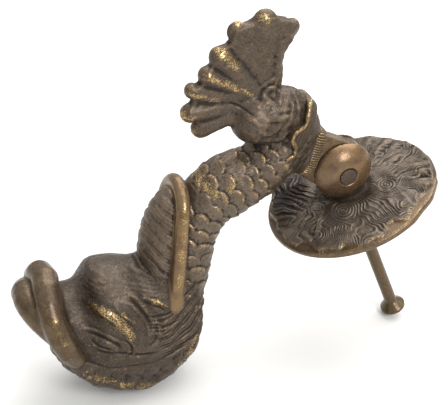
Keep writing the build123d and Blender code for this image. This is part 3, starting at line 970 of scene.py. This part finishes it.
def ears_field(p):
    """Two domed ears on a low foot, parted by the slot for the tongue, and bored for the pin."""
    x, y, z = p
    from_pin = np.hypot(y - PIN_Y, z)
    share = np.clip(from_pin / EAR_R, 0, 1)
    out = EAR_INNER + (EAR_OUTER - EAR_INNER) * (1 - share**2.6) ** 0.75
    dome = np.maximum((x - out) * 0.8, from_pin - EAR_R)
    foot_r = np.hypot(x, z) - (7.2 + 0.32 * (y - FOOT_FRONT))
    foot = np.maximum(foot_r, np.maximum(y - FOOT_BACK, FOOT_FRONT - y))
    solid = join(dome, foot, 2.5)
    slot = np.maximum(EAR_INNER - x, SLOT_FLOOR - y)
    solid = join_max(solid, np.where(y < SLOT_FLOOR, EAR_INNER - x, slot), 0.5)
    bore = np.maximum(from_pin - PIN_R - 0.1, -1)
    countersink = np.hypot(np.maximum(from_pin - PIN_R, 0), x - EAR_OUTER) - 0.7
    return carve(carve(solid, bore, 0.2), countersink, 0.3)


def ears_relief(p):
    """Shallow dents, with a darker foot."""
    dents = 0.25 * noise(p, 6, 41) + 0.05 * noise(p, 1.5, 42)
    foot = ramp(p[1], -13, -7)
    return 0.5 * dents, 0.15 * (1 - foot), 0.95 * (1 - foot), 0.55 * foot


# ======== Materials
class Graph:
    """A short way to build the nodes of a material or a world."""

    def __init__(self, owner):
        owner.use_nodes = True
        self.tree = owner.node_tree

    def feed(self, name, **inputs):
        """Fills the inputs of a node that is there from the start."""
        for key, value in inputs.items():
            self.put(self.tree.nodes[name].inputs[key.replace("_", " ")], value)

    def node(self, kind, inputs=(), **settings):
        """A new node, with its inputs and settings filled in."""
        node = self.tree.nodes.new(kind)
        for key, value in settings.items():
            setattr(node, key, value)
        for key, value in dict(inputs).items():
            self.put(node.inputs[key], value)
        return node

    def put(self, socket, value):
        """Links another socket, or sets a plain value."""
        if isinstance(value, bpy.types.NodeSocket):
            self.tree.links.new(value, socket)
        else:
            socket.default_value = value

    def mark(self, name):
        """A number stored at the vertices, or 0 on a piece that lacks it."""
        return self.node("ShaderNodeAttribute", attribute_name=name).outputs["Fac"]

    def noise(self, where, scale, detail=4, rough=0.6):
        inputs = {"Vector": where, "Scale": scale, "Detail": detail, "Roughness": rough}
        return self.node("ShaderNodeTexNoise", inputs).outputs["Fac"]

    def sums(self, kind, *values):
        """A sum, product or other operation on numbers."""
        return self.node("ShaderNodeMath", dict(enumerate(values)), operation=kind).outputs[0]

    def ramp(self, value, low, high, start=0, end=1):
        """A smooth rise or fall from start at low to end at high."""
        inputs = {"Value": value, "From Min": low, "From Max": high, "To Min": start, "To Max": end}
        return self.node("ShaderNodeMapRange", inputs, interpolation_type="SMOOTHSTEP").outputs[0]

    def blend(self, share, a, b):
        """A colour from a to b."""
        mix = self.node("ShaderNodeMix", data_type="RGBA", clamp_factor=True)
        for index, value in ((0, share), (6, a), (7, b)):
            self.put(mix.inputs[index], (*value, 1) if isinstance(value, tuple) else value)
        return mix.outputs[2]

    def blend_value(self, share, a, b):
        """A number from a to b."""
        inputs = {0: share, 2: a, 3: b}
        return self.node("ShaderNodeMix", inputs, data_type="FLOAT", clamp_factor=True).outputs[0]


# two patinas, the hollows, the crests, the warm parts and the rubbed parts
HOLLOW = (0.014, 0.0105, 0.008)
FISH_TONES = ((0.122, 0.093, 0.070), (0.086, 0.061, 0.040), HOLLOW,
              (0.150, 0.104, 0.066), (0.185, 0.119, 0.050), (0.50, 0.345, 0.15))
ROSE_TONES = ((0.100, 0.077, 0.060), (0.075, 0.057, 0.043), (0.016, 0.012, 0.010),
              (0.124, 0.094, 0.066), (0.205, 0.124, 0.058), (0.40, 0.28, 0.12))
PIN_TONES = ((0.11, 0.085, 0.068), (0.08, 0.06, 0.05), HOLLOW,
             (0.13, 0.10, 0.08), (0.11, 0.085, 0.068), (0.15, 0.11, 0.08))
SCREW_TONES = ((0.072, 0.053, 0.025), (0.052, 0.037, 0.017), HOLLOW,
               (0.125, 0.090, 0.040), (0.084, 0.061, 0.028), (0.2, 0.15, 0.075))
# what every bronze has: deep brown for dark patina and painted shade, pale flecks, reddish patches and
# blackened parts
DARK_PATINA_AND_SHADE, FLECK, RED_BROWN = (0.030, 0.021, 0.014), (0.235, 0.175, 0.125), (0.115, 0.055, 0.030)
BLACK = (0.008, 0.007, 0.007)


def bronze(name, tones, marks=True, rough=0.40):
    """Patinated bronze: dull in the hollows, browner on the crests, gilded where hands rub it and where gold
    paints a sheen, and darkened by dark patina and painted shade.
    """
    patina, patina_b, hollow, brown, warm_tone, gold_tone = tones
    material = bpy.data.materials.new(name)
    g = Graph(material)
    where = g.node("ShaderNodeTexCoord").outputs["Object"]
    cloud = g.noise(where, 55, 5)
    blotch = g.noise(where, 240, 5)
    grain = g.noise(where, 900, 4)
    speck = g.noise(where, 1500, 3, 0.7)
    colour = g.blend(g.ramp(cloud, 0.36, 0.64), patina, patina_b)
    colour = g.blend(g.ramp(blotch, 0.40, 0.72, 0, 0.5), colour, brown)
    colour = g.blend(g.ramp(grain, 0.48, 0.72, 0, 0.6), colour, hollow)
    if marks:
        stand = g.sums("MULTIPLY_ADD", g.mark("broad"), 0.45, g.mark("fine"))
        crest, sunk = g.ramp(stand, 0.03, 0.24), g.ramp(stand, -0.02, -0.26)
        gold, warm, dark, deep = (g.mark(mark) for mark in ("gold", "warm", "dark", "deep"))
    else:
        crest, sunk, gold, warm, dark, deep = 0.25, 0, 0.05, 1, 0, 0
    colour = g.blend(g.sums("MULTIPLY", sunk, 0.85), colour, hollow)
    colour = g.blend(g.sums("MULTIPLY", crest, g.ramp(blotch, 0.30, 0.65, 0.35, 1)), colour, brown)
    tone = g.blend(g.ramp(g.noise(where, 150, 4), 0.44, 0.66, 0, 0.75), warm_tone, RED_BROWN)
    colour = g.blend(g.sums("MULTIPLY", warm, g.ramp(cloud, 0.30, 0.60, 0.55, 0.95)), colour, tone)
    # the deep mark: dark patina, and painted shade on the fish's head, tail and collar
    colour = g.blend(g.sums("MULTIPLY", deep, g.ramp(blotch, 0.30, 0.70, 0.95, 0.65)), colour, DARK_PATINA_AND_SHADE)
    fleck = g.ramp(speck, 0.54, 0.68, 0, 0.55)
    colour = g.blend(g.sums("MULTIPLY", fleck, g.sums("SUBTRACT", 1, sunk)), colour, FLECK)
    # gold rubbed on crests and along the gold lines; on the hood's rim and upper lip it is also a painted
    # highlight
    rubbed_and_sheen = g.sums("MULTIPLY_ADD", crest, 0.30, g.sums("MULTIPLY", gold, 0.85))
    rubbed_and_sheen = g.sums("MULTIPLY", rubbed_and_sheen, g.ramp(speck, 0.43, 0.62, 0.15, 1.40))
    rubbed_and_sheen = g.ramp(g.sums("MULTIPLY", rubbed_and_sheen, g.ramp(blotch, 0.30, 0.62, 0.40, 1.20)), 0.26, 0.90)
    colour = g.blend(rubbed_and_sheen, colour, gold_tone)
    black = g.sums("MULTIPLY", dark, g.ramp(crest, 0.2, 1, 0.97, 0.60))
    colour = g.blend(black, colour, BLACK)
    dull = g.blend_value(sunk, g.ramp(grain, 0.3, 0.7, rough - 0.06, rough + 0.12), 0.72)
    dull = g.blend_value(rubbed_and_sheen, dull, 0.30)
    dull = g.blend_value(g.sums("MULTIPLY", warm, 0.8), dull, 0.21)
    dull = g.blend_value(g.sums("MULTIPLY", dark, 0.8), dull, 0.22)
    pits = g.sums("MULTIPLY_ADD", grain, 0.6, g.sums("MULTIPLY", speck, 0.4))
    bump = g.node("ShaderNodeBump", {"Strength": 0.55, "Distance": 0.0003, "Height": pits})
    metal = g.blend_value(g.sums("MAXIMUM", rubbed_and_sheen, dark), 0.62, 0.97)
    g.feed("Principled BSDF", Base_Color=colour, Roughness=dull, Metallic=metal, Normal=bump.outputs[0])
    return material


def finish_pieces(fish_pieces, rose_pieces):
    """Gives every piece its bronze."""
    cast, rose = bronze("fish_bronze", FISH_TONES), bronze("rose_bronze", ROSE_TONES)
    for pieces, material in ((fish_pieces, cast), (rose_pieces, rose)):
        for piece in pieces:
            piece.data.materials.append(material)
    pin = bronze("pin_patina", PIN_TONES, marks=False, rough=0.5)
    screw = bronze("screw_patina", SCREW_TONES, marks=False, rough=0.42)
    for node, material in (("hinge_pin", pin), ("fixing_screw", screw)):
        for slot in bpy.data.objects[node].material_slots:
            slot.material = material


make_camera()
make_table()
make_light()
finish_pieces(make_fish(), make_rose())
